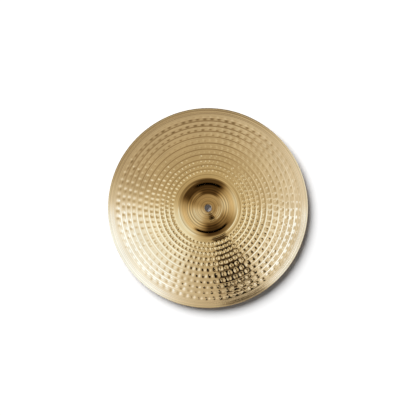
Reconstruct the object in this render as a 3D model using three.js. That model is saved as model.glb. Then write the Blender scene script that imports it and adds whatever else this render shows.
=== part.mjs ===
// A 14 inch crash cymbal: one piece of bronze, pressed, hammered and turned to a bell, a bow and a
// thin edge, with a plain hole for the stand.
// Millimetres, +Z up. The cymbal lies bell up, and the origin is the centre of the plane that its
// rim rests on.

import * as THREE from 'three';

// Driving dimensions.
const OUTER_RADIUS = 177.8; // half of 14 inches
const HOLE_RADIUS = 6.35; // half of the usual 1/2 inch hole
const HOLE_WALL = 1.15; // thickness of the metal at the hole
const RIM_WALL = 0.75; // thickness of the metal at the rim

// The upper face, from the hole outwards. Each stretch ends at a radius, where the face falls
// outwards at an angle in degrees, and a stretch is one circular arc cut into a number of steps.
const STRETCHES = [
  { endRadius: 9.6, endFall: 0, steps: 1 }, // flat seat for the felt washer
  { endRadius: 24, endFall: 11, steps: 3 }, // shallow cap of the bell
  { endRadius: 25.2, endFall: 19, steps: 1 }, // turned shoulder ring
  { endRadius: 43.6, endFall: 42, steps: 5 }, // side of the bell
  { endRadius: 56.5, endFall: 3.6, steps: 5 }, // hollow round the foot of the bell
  { endRadius: OUTER_RADIUS, endFall: 10.5, steps: 7 }, // bow and edge
];

// How finely the round shapes are cut.
const TURN_SEGMENTS = 72;
const RIM_STEPS = 3;

const BRONZE = { color: 0xb99c68, roughness: 0.3, metalness: 1 };

// Along a circular arc the sine of the fall grows evenly with the radius, so each point of the
// upper face follows from the ends of its stretch.
function upperFace() {
  const stations = [{ radius: HOLE_RADIUS, height: 0, fall: 0 }];
  for (const stretch of STRETCHES) {
    const start = stations.at(-1);
    const startSine = Math.sin(start.fall);
    const endSine = Math.sin(THREE.MathUtils.degToRad(stretch.endFall));
    for (let step = 1; step <= stretch.steps; step += 1) {
      const share = step / stretch.steps;
      const last = stations.at(-1);
      const radius = THREE.MathUtils.lerp(start.radius, stretch.endRadius, share);
      const fall = Math.asin(THREE.MathUtils.lerp(startSine, endSine, share));
      const chordFall = (last.fall + fall) / 2;
      const height = last.height - (radius - last.radius) * Math.tan(chordFall);
      stations.push({ radius, height, fall });
    }
  }
  return stations;
}

function wallAt(radius) {
  const share = (radius - HOLE_RADIUS) / (OUTER_RADIUS - HOLE_RADIUS);
  return THREE.MathUtils.lerp(HOLE_WALL, RIM_WALL, share);
}

// The point of the metal straight below a station, square to the upper face.
function throughWall({ radius, height, fall }, depth) {
  return new THREE.Vector2(radius - depth * Math.sin(fall), height - depth * Math.cos(fall));
}

// The rounded rim, from the upper face over to the underside.
function rimRound(rim) {
  const halfWall = wallAt(rim.radius) / 2;
  const centre = throughWall(rim, halfWall);
  const points = [];
  for (let step = 1; step < RIM_STEPS; step += 1) {
    const angle = Math.PI / 2 - rim.fall - (Math.PI * step) / RIM_STEPS;
    const spoke = new THREE.Vector2(Math.cos(angle), Math.sin(angle));
    points.push(centre.clone().addScaledVector(spoke, halfWall));
  }
  return points;
}

// The section of the metal: out along the upper face, round the rim, back along the underside and
// up the wall of the hole. It is scaled to the outer radius and stands on height 0.
function section() {
  const stations = upperFace();
  const top = stations.map((station) => throughWall(station, 0));
  const underside = stations.map((station) => throughWall(station, wallAt(station.radius)));
  const outline = [...top, ...rimRound(stations.at(-1)), ...underside.reverse(), top[0].clone()];
  const lowest = Math.min(...outline.map((point) => point.y));
  const widest = Math.max(...outline.map((point) => point.x));
  const overhang = widest - OUTER_RADIUS;
  for (const point of outline) {
    const outwards = (point.x - HOLE_RADIUS) / (widest - HOLE_RADIUS);
    point.set(point.x - overhang * outwards, point.y - lowest);
  }
  return outline;
}

function cymbal() {
  const geometry = new THREE.LatheGeometry(section().reverse(), TURN_SEGMENTS);
  geometry.rotateX(Math.PI / 2);
  const mesh = new THREE.Mesh(geometry, new THREE.MeshStandardMaterial(BRONZE));
  mesh.name = 'cymbal';
  return mesh;
}

const part = new THREE.Group();
part.add(cymbal());

export default part;
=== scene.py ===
"""Looks of a 14 inch crash cymbal: polished bronze, seen from straight above on a pale floor.

The cymbal is one piece of metal, so one dense mesh stands for its CAD node. It repeats the CAD
section and adds what the CAD leaves out: rings of hammer dents and cut steps, turned grooves, the
slight unevenness of a hammered bow and a small rise round the hole. Lengths are in metres, +Z is
up, and azimuths count from +X to +Y.
"""

import math

import bpy
import numpy as np
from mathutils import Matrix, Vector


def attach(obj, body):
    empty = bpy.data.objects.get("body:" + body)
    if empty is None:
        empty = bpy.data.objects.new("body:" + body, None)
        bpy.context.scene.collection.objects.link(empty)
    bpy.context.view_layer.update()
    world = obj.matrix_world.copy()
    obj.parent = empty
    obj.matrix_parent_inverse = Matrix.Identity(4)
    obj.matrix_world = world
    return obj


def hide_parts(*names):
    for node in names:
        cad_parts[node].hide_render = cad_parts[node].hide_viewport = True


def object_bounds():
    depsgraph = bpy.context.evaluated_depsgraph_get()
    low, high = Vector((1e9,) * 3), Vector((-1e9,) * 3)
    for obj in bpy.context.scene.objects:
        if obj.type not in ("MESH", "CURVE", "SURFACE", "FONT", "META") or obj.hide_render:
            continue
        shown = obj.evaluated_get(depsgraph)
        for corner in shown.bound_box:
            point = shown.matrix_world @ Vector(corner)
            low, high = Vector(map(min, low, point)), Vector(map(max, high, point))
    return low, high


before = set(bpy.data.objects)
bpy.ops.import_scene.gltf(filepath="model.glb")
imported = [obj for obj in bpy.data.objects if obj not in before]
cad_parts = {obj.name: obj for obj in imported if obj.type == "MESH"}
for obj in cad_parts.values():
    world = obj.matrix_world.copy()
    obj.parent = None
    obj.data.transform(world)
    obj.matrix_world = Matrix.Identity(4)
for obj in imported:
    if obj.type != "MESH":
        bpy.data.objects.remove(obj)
cad_low, cad_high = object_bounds()

MM = 0.001
TURN = 2.0 * math.pi
NODE = "cymbal"

# The section, as the CAD has it: radius and outward fall at the end of each stretch. Along a
# stretch, one circular arc, the sine of the fall grows evenly with the radius.
OUTER_RADIUS = cad_high.x
TOP = cad_high.z
HOLE_RADIUS = 6.35 * MM
HOLE_WALL = 1.15 * MM
RIM_WALL = 0.75 * MM
RIM_MIDDLE = OUTER_RADIUS - RIM_WALL / 2
SEAT_RADIUS = 9.6 * MM
FOOT_RADIUS = 56.5 * MM
STRETCHES = [
    (SEAT_RADIUS, 0.0),  # flat seat for the felt washer
    (24.0 * MM, 11.0),  # shallow cap of the bell
    (25.2 * MM, 19.0),  # turned shoulder ring
    (43.6 * MM, 42.0),  # side of the bell
    (FOOT_RADIUS, 3.6),  # hollow round the foot of the bell
    (OUTER_RADIUS, 10.5),  # bow and edge
]

# The metal is drawn up a little round the hole.
CROWN_RADIUS = 18.0 * MM
CROWN_HEIGHT = 0.3 * MM

# Turned grooves: how far their height spreads inside the bell's radius and outside it.
BELL_RADIUS = 46.0 * MM
BELL_GROOVE = 0.006 * MM
BAND_GROOVE = 0.008 * MM

# Hammering: the radius where it starts, then each ring's outer radius and its number of blows.
HAMMER_START = 58.7 * MM
HAMMER_RINGS = [
    (67.8 * MM, 59),
    (76.0 * MM, 58),
    (84.9 * MM, 70),
    (94.2 * MM, 63),
    (103.6 * MM, 68),
    (114.2 * MM, 68),
    (125.4 * MM, 66),
    (135.3 * MM, 70),
    (144.4 * MM, 68),
    (153.8 * MM, 68),
    (164.8 * MM, 77),
]
SEED = 14

# A dent lies in the middle of its bed and of its share of the ring, the pitch. Half of its width is
# a fixed length and a part of the pitch, up to a limit, and half of its length is a part of the bed.
MIDDLE = 0.5
DENT_WIDTH = 1.5 * MM
DENT_PITCH_PART = 0.29
DENT_WIDTH_LIMIT = 0.5
DENT_REACH = 0.48
DENT_DEPTH = 0.31 * MM
DENT_SQUARENESS = 3.4

# How much the blows differ: their place along and across the ring, as parts of the pitch and of the
# bed, their depth and their size.
SHIFT_SPREAD = 0.035
DRIFT_SPREAD = 0.03
DEPTH_RANGE = (0.7, 1.3)
SIZE_RANGE = (0.88, 1.04)

# Each ring starts with a narrow step that falls outwards more steeply than the bow. Behind it the
# metal rises slowly again, and the dents lie in this bed.
STEP_WIDTH = 1.9 * MM
STEP_FALL = 12.8
BED_ROWS = [0.14, 0.28, 0.43, 0.58, 0.73, 0.88]

# The gentle waves of a hammered bow, which fade out towards the bell and towards the rim.
WAVES = 14
WAVE_LENGTHS = (28.0 * MM, 75.0 * MM)
WAVE_STEEPNESS = 0.0007  # height of a wave as a part of its length
BELL_FADE = 20.0 * MM
RIM_FADE = 12.0 * MM

# Mesh density: points in a circle, and distances between the circles.
BOW_SEGMENTS = 640
BELL_SEGMENTS = 320
BELL_ROW = 0.9 * MM
EDGE_ROW = 1.0 * MM
UNDERSIDE_BOW_ROW = 7.0 * MM
UNDERSIDE_BELL_ROW = 2.7 * MM
RIM_STEPS = 5
SAME = 0.01 * MM  # two radii closer than this are the same


def smooth(value):
    """Smoothstep of a value held between 0 and 1."""
    held = np.clip(value, 0.0, 1.0)
    return held * held * (3.0 - 2.0 * held)


# ---------------------------------------------------------------------------------------------
# The cymbal's shape
# ---------------------------------------------------------------------------------------------


def face(radius):
    """Height and outward fall of the smooth upper face at one radius."""
    start, sine, height = HOLE_RADIUS, 0.0, TOP
    for end, end_degrees in STRETCHES:
        end_sine = math.sin(math.radians(end_degrees))
        reach = min(radius, end)
        fall = math.asin(sine)
        reach_fall = math.asin(sine + (end_sine - sine) * (reach - start) / (end - start))
        height -= (reach - start) * math.tan((fall + reach_fall) / 2.0)
        if radius <= end:
            break
        start, sine = end, end_sine
    return height, reach_fall


def wall(radius):
    """Thickness of the metal."""
    share = (radius - HOLE_RADIUS) / (OUTER_RADIUS - HOLE_RADIUS)
    return HOLE_WALL + (RIM_WALL - HOLE_WALL) * share


class Hammering:
    """The dents of every ring and the gentle waves of the bow, as a height to add to the face."""

    def __init__(self):
        self.random = np.random.default_rng(SEED)
        self.rings = []
        inner = HAMMER_START
        for outer, blows in HAMMER_RINGS:
            self.rings.append(self.ring(inner, outer, blows))
            inner = outer
        self.waves = [self.wave() for _ in range(WAVES)]

    def ring(self, inner, outer, blows):
        """One ring of blows, with what differs from blow to blow."""
        draw = self.random
        pitch = math.pi * (inner + outer) / blows
        steeper = math.radians(STEP_FALL) - face((inner + outer) / 2)[1]
        return {
            "inner": inner,
            "bed": inner + STEP_WIDTH,
            "outer": outer,
            "drop": STEP_WIDTH * math.tan(steeper),
            "width": min(DENT_WIDTH_LIMIT, DENT_WIDTH / pitch + DENT_PITCH_PART),
            "blows": blows,
            "phase": draw.uniform(0.0, 1.0),
            "shift": draw.uniform(-SHIFT_SPREAD, SHIFT_SPREAD, blows),
            "drift": draw.uniform(-DRIFT_SPREAD, DRIFT_SPREAD, blows),
            "depth": DENT_DEPTH * draw.uniform(*DEPTH_RANGE, blows),
            "size": draw.uniform(*SIZE_RANGE, blows),
        }

    def wave(self):
        """One straight wave: how fast its phase runs along X and Y, where it starts, its height."""
        draw = self.random
        length = draw.uniform(*WAVE_LENGTHS)
        heading = draw.uniform(0.0, TURN)
        number = TURN / length
        return {
            "x": number * math.cos(heading),
            "y": number * math.sin(heading),
            "phase": draw.uniform(0.0, TURN),
            "height": WAVE_STEEPNESS * length,
        }

    def dents(self, ring, across, azimuth):
        """Depth of a ring's dents along one circle, which lies at a share of the bed's width."""
        place = azimuth / TURN * ring["blows"] + ring["phase"]
        blow = np.floor(place).astype(int) % ring["blows"]
        u = np.abs(across - MIDDLE - ring["drift"][blow]) / DENT_REACH
        v = np.abs(place - np.floor(place) - MIDDLE - ring["shift"][blow]) / ring["width"]
        reach = (u**DENT_SQUARENESS + v**DENT_SQUARENESS) ** (1 / DENT_SQUARENESS)
        reach = reach / ring["size"][blow]
        return ring["depth"][blow] * np.clip(1.0 - reach**2, 0.0, None) ** 2

    def blows(self, radius, azimuth):
        """Depth of the step, its bed and the dents along one circle."""
        for ring in self.rings:
            if ring["inner"] <= radius < ring["bed"]:
                share = (radius - ring["inner"]) / STEP_WIDTH
                return np.full_like(azimuth, ring["drop"] * share)
            if ring["bed"] <= radius < ring["outer"]:
                across = (radius - ring["bed"]) / (ring["outer"] - ring["bed"])
                return ring["drop"] * (1.0 - across) + self.dents(ring, across, azimuth)
        return np.zeros_like(azimuth)

    def unevenness(self, radius, azimuth):
        """Height of all waves together along one circle."""
        total = np.zeros_like(azimuth)
        for wave in self.waves:
            run = wave["x"] * radius * np.cos(azimuth) + wave["y"] * radius * np.sin(azimuth)
            total += wave["height"] * np.sin(run + wave["phase"])
        bell_fade = smooth((radius - FOOT_RADIUS) / BELL_FADE)
        rim_fade = smooth((OUTER_RADIUS - radius) / RIM_FADE)
        return total * bell_fade * rim_fade / len(self.waves)

    def height(self, radius, azimuth):
        return self.unevenness(radius, azimuth) - self.blows(radius, azimuth)


def rows_between(start, end, step):
    """Radii from start towards end, without the end itself."""
    count = max(1, round((end - start) / step))
    return [start + (end - start) * index / count for index in range(count)]


def upper_rows():
    """Radius and segments of each circle of the upper face, from the hole to the rim."""
    rows = [(radius, BELL_SEGMENTS) for radius in rows_between(HOLE_RADIUS, FOOT_RADIUS, BELL_ROW)]
    bow = rows_between(FOOT_RADIUS, HAMMER_START, EDGE_ROW)
    inner = HAMMER_START
    for outer, _ in HAMMER_RINGS:
        bed = inner + STEP_WIDTH
        bow += [inner, bed]
        bow += [bed + (outer - bed) * row for row in BED_ROWS]
        inner = outer
    bow += rows_between(inner, OUTER_RADIUS, EDGE_ROW)
    return rows + [(radius, BOW_SEGMENTS) for radius in bow]


def azimuths(segments):
    return np.arange(segments) * (TURN / segments)


def circle(radius, height, segments):
    """A ring of points, with one height or one for each point."""
    azimuth = azimuths(segments)
    points = np.empty((segments, 3))
    points[:, 0] = radius * np.cos(azimuth)
    points[:, 1] = radius * np.sin(azimuth)
    points[:, 2] = height
    return points


def turned(radius, random):
    """Height of the lathe's grooves, which are cut in the bell, its foot and the edge band."""
    if radius <= SEAT_RADIUS or HAMMER_START < radius < HAMMER_RINGS[-1][0]:
        return 0.0
    depth = BELL_GROOVE if radius < BELL_RADIUS else BAND_GROOVE
    return depth * random.normal()


def crown(radius):
    """Rise of the metal towards the hole."""
    share = min(1.0, (radius - HOLE_RADIUS) / (CROWN_RADIUS - HOLE_RADIUS))
    return CROWN_HEIGHT * (1.0 - share) ** 2


def underside(radius):
    height, fall = face(radius)
    depth = wall(radius)
    return circle(radius - depth * math.sin(fall), height - depth * math.cos(fall), BELL_SEGMENTS)


def rim_rings():
    """The rounded rim, from the upper face over to the underside."""
    face_height, fall = face(OUTER_RADIUS)
    half_wall = RIM_WALL / 2
    middle_height = face_height + half_wall * math.tan(fall) - half_wall * math.cos(fall)
    rings = []
    for step in range(RIM_STEPS + 1):
        angle = math.pi / 2 - fall - math.pi * step / RIM_STEPS
        radius = RIM_MIDDLE + half_wall * math.cos(angle)
        rings.append(circle(radius, middle_height + half_wall * math.sin(angle), BELL_SEGMENTS))
    return rings


def cymbal_rings():
    """All circles of the closed surface, out along the top and back along the underside."""
    hammering = Hammering()
    random = np.random.default_rng(SEED)
    rings = []
    for radius, segments in upper_rows():
        height = face(radius)[0] + crown(radius) + turned(radius, random)
        uneven = hammering.height(radius, azimuths(segments))
        rings.append(circle(radius, height + uneven, segments))
    rings += rim_rings()
    back = rows_between(HOLE_RADIUS, FOOT_RADIUS, UNDERSIDE_BELL_ROW)
    back += rows_between(FOOT_RADIUS, RIM_MIDDLE, UNDERSIDE_BOW_ROW)
    return rings + [underside(radius) for radius in reversed(back)]


def bridge(first, second, first_count, second_count):
    """Faces between two circles given by their first vertices. One count divides the other."""
    faces = []
    if first_count == second_count:
        for index in range(first_count):
            after = (index + 1) % first_count
            faces.append((first + index, second + index, second + after, first + after))
    elif second_count > first_count:
        share = second_count // first_count
        for index in range(first_count):
            after = (index + 1) % first_count
            fine = [second + (index * share + step) % second_count for step in range(share + 1)]
            faces.append((first + index, *fine, first + after))
    else:
        share = first_count // second_count
        for index in range(second_count):
            after = (index + 1) % second_count
            fine = [first + (index * share + step) % first_count for step in range(share, -1, -1)]
            faces.append((second + index, second + after, *fine))
    return faces


def sharpen(mesh):
    """Mark the edges of the steps, which are cut and not rounded."""
    places = np.empty(3 * len(mesh.vertices))
    mesh.vertices.foreach_get("co", places)
    radius = np.hypot(places[0::3], places[1::3])
    edges = np.empty(2 * len(mesh.edges), dtype=int)
    mesh.edges.foreach_get("vertices", edges)
    first, second = radius[edges[0::2]], radius[edges[1::2]]
    starts = [HAMMER_START] + [outer for outer, _ in HAMMER_RINGS]
    sharp = np.zeros(len(mesh.edges), dtype=bool)
    for start in starts:
        for cut in (start, start + STEP_WIDTH):
            sharp |= (np.abs(first - cut) < SAME) & (np.abs(second - cut) < SAME)
    mesh.attributes.new("sharp_edge", "BOOLEAN", "EDGE").data.foreach_set("value", sharp)


def cymbal():
    """The whole instrument as one closed mesh, whose last circle joins the first."""
    rings = cymbal_rings()
    starts = np.cumsum([0] + [len(ring) for ring in rings])
    faces = []
    for index, ring in enumerate(rings):
        after = (index + 1) % len(rings)
        faces += bridge(int(starts[index]), int(starts[after]), len(ring), len(rings[after]))
    mesh = bpy.data.meshes.new("cymbal_shell")
    mesh.from_pydata(np.concatenate(rings).tolist(), [], faces)
    mesh.shade_smooth()
    sharpen(mesh)
    piece = bpy.data.objects.new("cymbal_shell", mesh)
    bpy.context.scene.collection.objects.link(piece)
    return piece


# ---------------------------------------------------------------------------------------------
# Materials
# ---------------------------------------------------------------------------------------------

NOISE_DETAIL = 3.0
NOISE_MEAN = 0.5
NOISE_RANGE = (0.3, 0.7)  # where most of a noise's values lie
TWO_NOISES_RANGE = (0.6, 1.4)


class Nodes:
    """A short way to write a material's node tree."""

    def __init__(self, name):
        self.material = bpy.data.materials.new(name)
        self.material.use_nodes = True
        self.tree = self.material.node_tree
        self.tree.nodes.clear()

    def add(self, kind, inputs=None, **settings):
        node = self.tree.nodes.new("ShaderNode" + kind)
        for key, value in settings.items():
            setattr(node, key, value)
        for key, value in (inputs or {}).items():
            if isinstance(value, bpy.types.NodeSocket):
                self.tree.links.new(value, node.inputs[key])
            else:
                node.inputs[key].default_value = value
        return node

    def math(self, operation, first, second=0.0, third=0.0):
        inputs = {0: first, 1: second, 2: third}
        return self.add("Math", inputs, operation=operation).outputs[0]

    def span(self, value, source, target):
        """A value mapped from one range to another."""
        inputs = {0: value, 1: source[0], 2: source[1], 3: target[0], 4: target[1]}
        return self.add("MapRange", inputs).outputs[0]

    def noise(self, inputs, dimensions="3D"):
        inputs = {"Detail": NOISE_DETAIL, **inputs}
        return self.add("TexNoise", inputs, noise_dimensions=dimensions).outputs["Fac"]

    def surface(self, shader):
        self.add("OutputMaterial", {"Surface": shader})
        return self.material


def ramp(nodes, value, stops):
    """A colour ramp from (position, colour) pairs."""
    node = nodes.add("ValToRGB", {"Fac": value})
    elements = node.color_ramp.elements
    while len(elements) < len(stops):
        elements.new(0.5)  # its own place follows below
    for element, (position, colour) in zip(elements, stops):
        element.position = position
        element.color = (*colour, 1.0)
    return node.outputs["Color"]


# The bronze's colour and the depth of its fine grooves, at shares of the outer radius. The bell's
# darker, redder colour, up to a share of 0.25, is painted shade.
BRONZE_AND_BELL_SHADE_COLOURS = [
    (0.0, (0.58, 0.35, 0.12)),
    (0.25, (0.60, 0.37, 0.126)),
    (0.33, (0.86, 0.60, 0.25)),
    (0.60, (0.87, 0.62, 0.29)),
    (0.94, (0.93, 0.69, 0.37)),
]
GROOVE_DEPTHS = [(0.135, 0.5), (0.16, 0.15), (0.92, 0.2), (0.94, 1.1)]
GROOVE_HEIGHT = 0.14 * MM
GROOVE_SCALE = 0.45  # cells of the grooves' noise in a millimetre
ARC_DENSITY = 0.9 / MM  # the same for the noise that also changes round the cymbal
ARC_PART = 0.5  # how much it adds to the grooves
PATCH_SCALE = 22.0  # cells of the patches' noise in a metre

# Patina: the spread of its tone, and how strongly the grooves show in it, which falls from the bell
# to the bow and rises again in the edge band.
TONE_RANGE = (0.88, 1.08)
BELL_END = (0.26, 0.33)
BELL_DIRT = (1.7, 0.3)
BAND_START = (0.92, 0.94)
BAND_DIRT = 0.9
ROUGHNESS_RANGE = (0.025, 0.07)


def arc_noise(nodes, flat, radius):
    """Noise in long arcs: it changes quickly with the radius and slowly round the cymbal."""
    direction = nodes.add("VectorMath", {0: flat}, operation="NORMALIZE").outputs[0]
    parts = nodes.add("SeparateXYZ", {0: direction}).outputs
    depth = nodes.math("MULTIPLY", radius, ARC_DENSITY)
    place = nodes.add("CombineXYZ", {0: parts[0], 1: parts[1], 2: depth}).outputs[0]
    return nodes.noise({"Vector": place, "Scale": 1.0})


def bronze_colour_and_bell_shade(nodes, share, patches, arcs, grooves):
    # The ramp's darker, redder bell is painted shade.
    colour = ramp(nodes, share, BRONZE_AND_BELL_SHADE_COLOURS)
    tone = nodes.span(nodes.math("ADD", patches, arcs), TWO_NOISES_RANGE, TONE_RANGE)
    band = nodes.span(share, BAND_START, (0.0, 1.0))
    dirt = nodes.math("MULTIPLY_ADD", band, BAND_DIRT, nodes.span(share, BELL_END, BELL_DIRT))
    lines = nodes.math("MULTIPLY_ADD", nodes.math("SUBTRACT", grooves, NOISE_MEAN), dirt, tone)
    return nodes.add("VectorMath", {0: colour, 3: lines}, operation="SCALE").outputs[0]


def bronze_grooves(nodes, share, arcs, grooves):
    cut = nodes.math("MULTIPLY_ADD", arcs, ARC_PART, grooves)
    depth = ramp(nodes, share, [(place, (depth, depth, depth)) for place, depth in GROOVE_DEPTHS])
    inputs = {
        "Height": nodes.math("MULTIPLY", cut, depth),
        "Strength": 1.0,
        "Distance": GROOVE_HEIGHT,
    }
    return nodes.add("Bump", inputs).outputs["Normal"]


def bronze():
    """Polished cymbal bronze: golden, paler towards the rim, with a darker, redder bell that is
    painted shade, turned grooves and soft patina.
    """
    nodes = Nodes("bronze")
    place = nodes.add("TexCoord").outputs["Object"]
    flat = nodes.add("VectorMath", {0: place, 1: (1.0, 1.0, 0.0)}, operation="MULTIPLY").outputs[0]
    radius = nodes.add("VectorMath", {0: flat}, operation="LENGTH").outputs["Value"]
    share = nodes.math("DIVIDE", radius, OUTER_RADIUS)
    patches = nodes.noise({"Vector": place, "Scale": PATCH_SCALE})
    arcs = arc_noise(nodes, flat, radius)
    millimetres = nodes.math("MULTIPLY", radius, 1.0 / MM)
    grooves = nodes.noise({"W": millimetres, "Scale": GROOVE_SCALE}, "1D")
    shader = nodes.add(
        "BsdfPrincipled",
        {
            "Base Color": bronze_colour_and_bell_shade(nodes, share, patches, arcs, grooves),
            "Metallic": 1.0,
            "Roughness": nodes.span(patches, NOISE_RANGE, ROUGHNESS_RANGE),
            "Normal": bronze_grooves(nodes, share, arcs, grooves),
        },
    )
    return nodes.surface(shader.outputs[0])


def plain(name, colour, roughness, glow=0.0):
    """A matt material without gloss, which may glow a little in its own colour as painted light."""
    nodes = Nodes(name)
    shader = nodes.add(
        "BsdfPrincipled",
        {
            "Base Color": (*colour, 1.0),
            "Roughness": roughness,
            "Specular IOR Level": 0.0,
            "Emission Color": (*colour, 1.0),
            "Emission Strength": glow,
        },
    )
    return nodes.surface(shader.outputs[0])


# ---------------------------------------------------------------------------------------------
# The studio
# ---------------------------------------------------------------------------------------------

# The tent is a pale dome that the polished metal reflects. Each panel covers what is behind it:
# middle azimuth, half width and feather, then polar angle from and to, counted from straight up,
# and feather, all in degrees, and how bright it is.
TENT_RADIUS = 4.0
TENT_COLUMNS = 360
TENT_ROWS = 180
TENT_LEVEL = 0.52
HORIZON = 90.0  # a panel that ends here has no lower feather
PANELS = [
    # azimuth, half width, feather, from, to, feather, level
    (110.0, 55.0, 50.0, 26.5, HORIZON, 14.0, 0.24),  # back wall
    (90.0, 38.0, 34.0, 34.0, HORIZON, 20.0, 0.08),  # back screen
    (122.0, 40.0, 30.0, 58.0, HORIZON, 16.0, 0.07),  # back wall, below
    (139.0, 22.0, 26.0, 40.0, 56.0, 10.0, 0.38),  # side screen
    (292.0, 52.0, 40.0, 42.0, HORIZON, 30.0, 0.3),  # front wall
    (282.0, 26.0, 34.0, 44.0, HORIZON, 26.0, 0.07),  # front screen
    (55.0, 22.0, 40.0, 14.5, 25.0, 6.0, 0.64),  # upper right screen
    (345.0, 60.0, 50.0, 16.0, 32.0, 11.0, 0.76),  # right screen
    (12.0, 24.0, 46.0, 30.0, HORIZON, 14.0, 1.15),  # right wall
    (214.0, 35.0, 50.0, 5.0, HORIZON, 12.0, 1.2),  # left wall
    (88.0, 34.0, 20.0, 75.0, HORIZON, 10.0, 0.0),  # foot of the back wall
    (280.0, 42.0, 16.0, 76.0, HORIZON, 8.0, 0.0),  # foot of the front wall
    (342.0, 27.0, 14.0, 13.5, 17.5, 4.0, 1.2),  # soft box, right
    (213.0, 32.0, 14.0, 26.5, 36.0, 3.0, 1.5),  # strip light, left
    (335.0, 25.0, 12.0, 26.5, 34.0, 3.0, 1.45),  # strip light, right
    (265.0, 55.0, 30.0, 2.5, 5.5, 1.5, 1.15),  # overhead light
    (290.0, 13.0, 4.0, 4.0, 14.0, 2.0, 0.08),  # camera
    (291.5, 14.0, 2.0, 13.2, 20.0, 1.0, 0.0),  # camera arm
    (292.0, 13.0, 5.0, 23.4, 29.8, 1.2, 0.03),  # camera stand
    (0.0, 180.0, 1.0, 86.2, HORIZON, 1.2, 0.6),  # horizon
]

# The tent is cool where it is bright and warm where it is dim: level, then red, green and blue.
# Towards the floor, between two polar angles, it loses half of its coolness.
NEUTRAL = 0.6
COOL_TOP = 58.0
COOL_END = 74.0
COOL_LOSS = 0.5
TENT_TINTS = [
    (0.0, (1.45, 1.0, 0.62)),
    (0.2, (1.17, 1.0, 0.77)),
    (NEUTRAL, (1.0, 1.0, 1.0)),
    (1.2, (0.82, 1.0, 1.45)),
    (1.6, (0.72, 1.0, 1.75)),
]


def panel_cover(azimuth, polar, middle, half_width, feather, start, end, polar_feather):
    """How much of a panel is seen in a direction, from 0 to 1."""
    away = np.abs((azimuth - middle + 180.0) % 360.0 - 180.0)
    across = smooth((half_width + feather / 2 - away) / feather)
    up = smooth((polar - start + polar_feather / 2) / polar_feather)
    down = smooth((end + polar_feather / 2 - polar) / polar_feather) if end < HORIZON else 1.0
    return across * up * down


def tent_glow(azimuth, polar):
    """The tent's colour in each direction, as bright as it glows."""
    level = np.full_like(polar, TENT_LEVEL)
    for *window, panel_level in PANELS:
        cover = panel_cover(azimuth, polar, *window)
        level = level * (1.0 - cover) + panel_level * cover
    glow = np.ones((len(level), 4))
    cool = 1.0 - COOL_LOSS * smooth((polar - COOL_TOP) / (COOL_END - COOL_TOP))
    steps = [step for step, _ in TENT_TINTS]
    for channel in range(3):
        tint = np.interp(level, steps, [tint[channel] for _, tint in TENT_TINTS])
        glow[:, channel] = level * np.where(level > NEUTRAL, 1.0 + cool * (tint - 1.0), tint)
    return glow


def tent_material():
    nodes = Nodes("light_tent")
    reading = nodes.add("Attribute", attribute_name="glow")
    shader = nodes.add("Emission", {"Color": reading.outputs["Color"], "Strength": 1.0})
    nodes.material.cycles.emission_sampling = "NONE"
    return nodes.surface(shader.outputs[0])


def tent():
    """The dome that the metal mirrors. It is hidden from the camera and doesn't light the floor."""
    polar = np.repeat(np.arange(TENT_ROWS + 1) * HORIZON / TENT_ROWS, TENT_COLUMNS)
    azimuth = np.tile(np.arange(TENT_COLUMNS) * 360.0 / TENT_COLUMNS, TENT_ROWS + 1)
    p, a = np.radians(polar), np.radians(azimuth)
    points = TENT_RADIUS * np.stack([np.sin(p) * np.cos(a), np.sin(p) * np.sin(a), np.cos(p)], 1)
    faces = []
    for row in range(TENT_ROWS):
        faces += bridge(row * TENT_COLUMNS, (row + 1) * TENT_COLUMNS, TENT_COLUMNS, TENT_COLUMNS)
    mesh = bpy.data.meshes.new("light_tent")
    mesh.from_pydata(points.tolist(), [], faces)
    glow = mesh.attributes.new("glow", "FLOAT_COLOR", "POINT")
    glow.data.foreach_set("color", tent_glow(azimuth, polar).ravel())
    mesh.materials.append(tent_material())
    dome = bpy.data.objects.new("light_tent", mesh)
    bpy.context.scene.collection.objects.link(dome)
    dome.visible_camera = False
    dome.visible_diffuse = False
    dome.visible_shadow = False
    dome.visible_transmission = False


FLOOR_GAP = 15.0 * MM  # from the floor up to the rim
FLOOR_SIZE = 60.0
FLOOR_COLOUR = (0.92, 0.92, 0.92)
FLOOR_ROUGHNESS = 0.8

# A small grey disc under the hole, which is what the camera sees through it. It glows a little:
# painted light that lifts its grey.
BACKING_RADIUS = 22.0 * MM
BACKING_DEPTH = 14.0 * MM
BACKING_COLOUR = (0.8, 0.8, 0.82)
BACKING_ROUGHNESS = 0.9
BACKING_PAINTED_GLOW = 0.07
DISC_SEGMENTS = 64

# The suns: name, strength, then azimuth, polar angle and spread in degrees.
SUNS = [
    ("key", 4.65, 133.0, 46.0, 44.0),
    ("fill", 0.42, 0.0, 0.0, 150.0),
]


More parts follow.
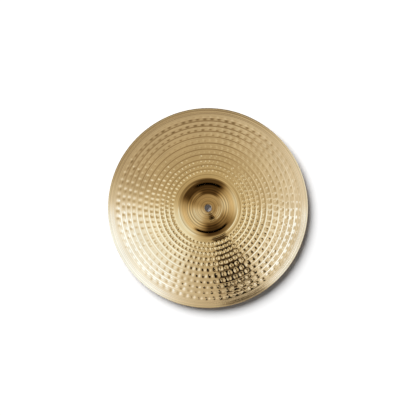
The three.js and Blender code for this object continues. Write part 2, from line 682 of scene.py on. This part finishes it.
def disc(name, radius, height, material):
    mesh = bpy.data.meshes.new(name)
    points = circle(radius, height, DISC_SEGMENTS)
    mesh.from_pydata(points.tolist(), [], [tuple(range(DISC_SEGMENTS))])
    mesh.materials.append(material)
    item = bpy.data.objects.new(name, mesh)
    bpy.context.scene.collection.objects.link(item)


def soft_sun(name, strength, azimuth, polar, spread):
    """An even soft light from a direction given in degrees. It lights the floor only."""
    data = bpy.data.lights.new(name, "SUN")
    data.energy = strength
    data.angle = math.radians(spread)
    light = bpy.data.objects.new(name, data)
    bpy.context.scene.collection.objects.link(light)
    light.rotation_euler = (0.0, math.radians(polar), math.radians(azimuth))
    light.visible_camera = False
    light.visible_glossy = False


def white_world():
    """White behind everything. It isn't mirrored and lights nothing."""
    world = bpy.data.worlds.new("white")
    world.use_nodes = True
    world.node_tree.nodes["Background"].inputs["Color"].default_value = (1.0, 1.0, 1.0, 1.0)
    bpy.context.scene.world = world
    world.cycles_visibility.diffuse = False
    world.cycles_visibility.glossy = False


def studio():
    disc("floor", FLOOR_SIZE, -FLOOR_GAP, plain("pale_floor", FLOOR_COLOUR, FLOOR_ROUGHNESS))
    # The backing's faint glow is painted light.
    shade = plain("shade", BACKING_COLOUR, BACKING_ROUGHNESS, BACKING_PAINTED_GLOW)
    disc("hole_backing", BACKING_RADIUS, TOP - BACKING_DEPTH, shade)
    tent()
    for sun in SUNS:
        soft_sun(*sun)
    white_world()
    bpy.context.scene.view_settings.view_transform = "Standard"


# The camera: lens and sensor in millimetres, and how much of the picture's width is cymbal.
LENS = 135.0
SENSOR = 36.0
CYMBAL_SHARE = 0.4805


def camera():
    """Straight above, so that the cymbal fills its share of a square picture."""
    data = bpy.data.cameras.new("camera")
    data.lens = LENS
    data.sensor_width = SENSOR
    view = bpy.data.objects.new("camera", data)
    bpy.context.scene.collection.objects.link(view)
    width = 2.0 * OUTER_RADIUS / CYMBAL_SHARE
    view.location = (0.0, 0.0, width * LENS / SENSOR)
    bpy.context.scene.camera = view


camera()
studio()

shell = cymbal()
shell.data.materials.append(bronze())
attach(shell, "root")
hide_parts(NODE)
